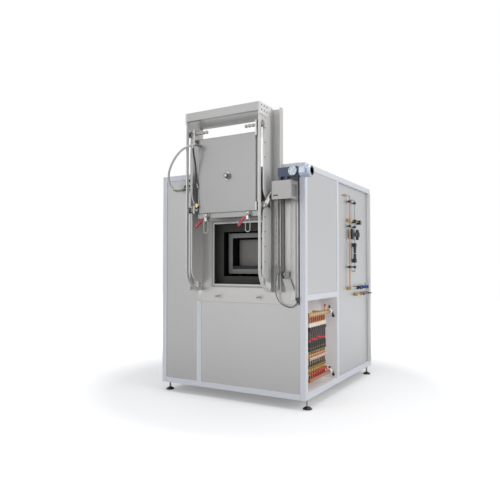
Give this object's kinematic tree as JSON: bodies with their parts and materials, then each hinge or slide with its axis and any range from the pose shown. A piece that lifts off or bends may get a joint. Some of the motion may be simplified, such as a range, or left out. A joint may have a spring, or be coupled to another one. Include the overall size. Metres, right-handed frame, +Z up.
{
  "type": "vacuum furnace",
  "caption": "Cabinet vacuum furnace with a steel door lifted by a chain along slotted guide plates, cooling-water manifold in an open side bay and a gas panel",
  "frame": {"origin": "on the floor at the bottom centre of the whole furnace with its door raised, hoses not counted", "axes": "+Z up, the door faces -Y, the motor, the water bay and the gas panel are on the +X side"},
  "size_m": [1.646, 2.2337, 2.59],
  "materials": {
    "black_hose": "black rubber hose",
    "cabinet_frame": "semi-gloss pale blue-white paint",
    "cable_duct": "folded sheet",
    "circuit_lever_1": "red coated lever",
    "circuit_lever_2": "red coated lever",
    "circuit_lever_3": "red coated lever",
    "circuit_lever_4": "red coated lever",
    "circuit_lever_5": "red coated lever",
    "circuit_lever_6": "red coated lever",
    "circuit_lever_7": "red coated lever",
    "circuit_lever_8": "red coated lever",
    "clamp_bases": "zinc plated",
    "door_fittings": "plated hose fittings",
    "door_gasket": "dark elastomer",
    "door_insulation": "dark graphite board",
    "door_panel": "ground stainless",
    "drive_box": "folded sheet",
    "drive_motor": "pale blue-silver paint",
    "drive_sprocket": "hardened steel",
    "flow_meters": "clear and white plastic",
    "front_plate": "ground stainless plate",
    "furnace_vessel": "welded steel",
    "gas_lever": "blue lever",
    "gas_lines": "copper and steel tube",
    "gas_panel": "ground stainless sheet",
    "gas_valves": "brass and black fittings",
    "gearbox": "dark blue-grey paint",
    "grey_hose": "grey braided hose",
    "guide_screws": "stainless screws",
    "heating_rods": "graphite",
    "insulation_case": "dark graphite board",
    "left_clamp_bail": "bright plated rod",
    "left_clamp_handle": "red grip",
    "left_front_panel": "ground stainless sheet",
    "left_guide_plate": "ground stainless plate",
    "levelling_feet": "black plastic pad on a steel spindle",
    "lift_chain": "oiled steel",
    "lift_link": "machined aluminium and steel",
    "lower_front_panel": "ground stainless sheet",
    "lower_rollers": "hardened steel",
    "manifold_bay": "pale grey paint",
    "muffle": "graphite",
    "outer_panels": "ground stainless sheet",
    "power_transformer": "varnished core",
    "process_box": "grey-brown heat-resistant alloy",
    "return_manifold": "turned brass",
    "right_clamp_bail": "bright plated rod",
    "right_clamp_handle": "red grip",
    "right_guide_plate": "ground stainless plate",
    "right_upper_panel": "ground stainless sheet",
    "roller_brackets": "machined steel",
    "supply_manifold": "turned brass",
    "switch_cable": "black cable",
    "tension_bracket": "folded sheet",
    "tension_sprocket": "hardened steel",
    "tower_head": "folded stainless sheet",
    "tower_posts": "folded stainless sheet",
    "upper_rollers": "hardened steel",
    "vacuum_line": "welded stainless",
    "water_ports": "black fittings"
  },
  "bodies": {
    "cabinet": {"cabinet_frame": "cabinet_frame", "cable_duct": "cable_duct", "door_gasket": "door_gasket", "drive_box": "drive_box", "drive_motor": "drive_motor", "flow_meters": "flow_meters", "front_plate": "front_plate", "furnace_vessel": "furnace_vessel", "gas_lines": "gas_lines", "gas_panel": "gas_panel", "gas_valves": "gas_valves", "gearbox": "gearbox", "grey_hose": "grey_hose", "guide_screws": "guide_screws", "heating_rods": "heating_rods", "insulation_case": "insulation_case", "left_front_panel": "left_front_panel", "left_guide_plate": "left_guide_plate", "levelling_feet": "levelling_feet", "lift_chain": "lift_chain", "lower_front_panel": "lower_front_panel", "manifold_bay": "manifold_bay", "muffle": "muffle", "outer_panels": "outer_panels", "power_transformer": "power_transformer", "process_box": "process_box", "return_manifold": "return_manifold", "right_guide_plate": "right_guide_plate", "right_upper_panel": "right_upper_panel", "supply_manifold": "supply_manifold", "switch_cable": "switch_cable", "tension_bracket": "tension_bracket", "tower_head": "tower_head", "tower_posts": "tower_posts", "vacuum_line": "vacuum_line", "water_ports": "water_ports"},
    "door": {"door_panel": "door_panel", "door_insulation": "door_insulation", "roller_brackets": "roller_brackets", "door_fittings": "door_fittings", "clamp_bases": "clamp_bases", "lift_link": "lift_link", "black_hose": "black_hose"},
    "upper_rollers": {"upper_rollers": "upper_rollers"},
    "lower_rollers": {"lower_rollers": "lower_rollers"},
    "left_clamp_handle": {"left_clamp_handle": "left_clamp_handle"},
    "right_clamp_handle": {"right_clamp_handle": "right_clamp_handle"},
    "left_clamp_bail": {"left_clamp_bail": "left_clamp_bail"},
    "right_clamp_bail": {"right_clamp_bail": "right_clamp_bail"},
    "drive_sprocket": {"drive_sprocket": "drive_sprocket"},
    "tension_sprocket": {"tension_sprocket": "tension_sprocket"},
    "gas_lever": {"gas_lever": "gas_lever"},
    "circuit_lever_1": {"circuit_lever_1": "circuit_lever_1"},
    "circuit_lever_2": {"circuit_lever_2": "circuit_lever_2"},
    "circuit_lever_3": {"circuit_lever_3": "circuit_lever_3"},
    "circuit_lever_4": {"circuit_lever_4": "circuit_lever_4"},
    "circuit_lever_5": {"circuit_lever_5": "circuit_lever_5"},
    "circuit_lever_6": {"circuit_lever_6": "circuit_lever_6"},
    "circuit_lever_7": {"circuit_lever_7": "circuit_lever_7"},
    "circuit_lever_8": {"circuit_lever_8": "circuit_lever_8"}
  },
  "joints": [
    {"name": "door_lift", "type": "slide", "parent": "cabinet", "child": "door", "axis": [0, 0, 1], "range_m": [-0.528, 0], "deforming": ["grey_hose"]},
    {"name": "upper_rollers_spin", "type": "hinge", "parent": "door", "child": "upper_rollers", "pos_m": [0.0335, -0.95314, 2.41], "axis": [1, 0, 0], "continuous": true},
    {"name": "lower_rollers_spin", "type": "hinge", "parent": "door", "child": "lower_rollers", "pos_m": [0.0335, -0.95314, 1.718], "axis": [1, 0, 0], "continuous": true},
    {"name": "drive_sprocket_spin", "type": "hinge", "parent": "cabinet", "child": "drive_sprocket", "pos_m": [0.557, -0.86314, 1.85], "axis": [1, 0, 0], "continuous": true},
    {"name": "tension_sprocket_spin", "type": "hinge", "parent": "cabinet", "child": "tension_sprocket", "pos_m": [0.557, -0.86314, 1.143], "axis": [1, 0, 0], "continuous": true},
    {"name": "left_clamp_handle_swing", "type": "hinge", "parent": "door", "child": "left_clamp_handle", "pos_m": [-0.161, -0.95514, 1.668], "axis": [1, 0, 0], "range_deg": [-115, 0]},
    {"name": "left_clamp_bail_swing", "type": "hinge", "parent": "left_clamp_handle", "child": "left_clamp_bail", "pos_m": [-0.161, -0.95514, 1.616], "axis": [1, 0, 0], "range_deg": [-30, 60]},
    {"name": "right_clamp_handle_swing", "type": "hinge", "parent": "door", "child": "right_clamp_handle", "pos_m": [0.269, -0.95514, 1.668], "axis": [1, 0, 0], "range_deg": [-115, 0]},
    {"name": "right_clamp_bail_swing", "type": "hinge", "parent": "right_clamp_handle", "child": "right_clamp_bail", "pos_m": [0.269, -0.95514, 1.616], "axis": [1, 0, 0], "range_deg": [-30, 60]},
    {"name": "circuit_lever_1_turn", "type": "hinge", "parent": "cabinet", "child": "circuit_lever_1", "pos_m": [0.691, -0.58314, 0.29], "axis": [1, 0, 0], "range_deg": [-90, 0]},
    {"name": "circuit_lever_2_turn", "type": "hinge", "parent": "cabinet", "child": "circuit_lever_2", "pos_m": [0.691, -0.53464, 0.29], "axis": [1, 0, 0], "range_deg": [-90, 0]},
    {"name": "circuit_lever_3_turn", "type": "hinge", "parent": "cabinet", "child": "circuit_lever_3", "pos_m": [0.691, -0.48614, 0.29], "axis": [1, 0, 0], "range_deg": [-90, 0]},
    {"name": "circuit_lever_4_turn", "type": "hinge", "parent": "cabinet", "child": "circuit_lever_4", "pos_m": [0.691, -0.43764, 0.29], "axis": [1, 0, 0], "range_deg": [-90, 0]},
    {"name": "circuit_lever_5_turn", "type": "hinge", "parent": "cabinet", "child": "circuit_lever_5", "pos_m": [0.691, -0.38914, 0.29], "axis": [1, 0, 0], "range_deg": [-90, 0]},
    {"name": "circuit_lever_6_turn", "type": "hinge", "parent": "cabinet", "child": "circuit_lever_6", "pos_m": [0.691, -0.34064, 0.29], "axis": [1, 0, 0], "range_deg": [-90, 0]},
    {"name": "circuit_lever_7_turn", "type": "hinge", "parent": "cabinet", "child": "circuit_lever_7", "pos_m": [0.691, -0.29214, 0.29], "axis": [1, 0, 0], "range_deg": [-90, 0]},
    {"name": "circuit_lever_8_turn", "type": "hinge", "parent": "cabinet", "child": "circuit_lever_8", "pos_m": [0.691, -0.24364, 0.29], "axis": [1, 0, 0], "range_deg": [-90, 0]},
    {"name": "gas_lever_turn", "type": "hinge", "parent": "cabinet", "child": "gas_lever", "pos_m": [0.732, 0.80986, 0.985], "axis": [1, 0, 0], "range_deg": [0, 90]}
  ],
  "couplings": [
    {"joint": "upper_rollers_spin", "follows": "door_lift", "rad_per_m": -40},
    {"joint": "lower_rollers_spin", "follows": "door_lift", "rad_per_m": 40},
    {"joint": "drive_sprocket_spin", "follows": "door_lift", "rad_per_m": 40.759},
    {"joint": "tension_sprocket_spin", "follows": "door_lift", "rad_per_m": 40.759}
  ]
}
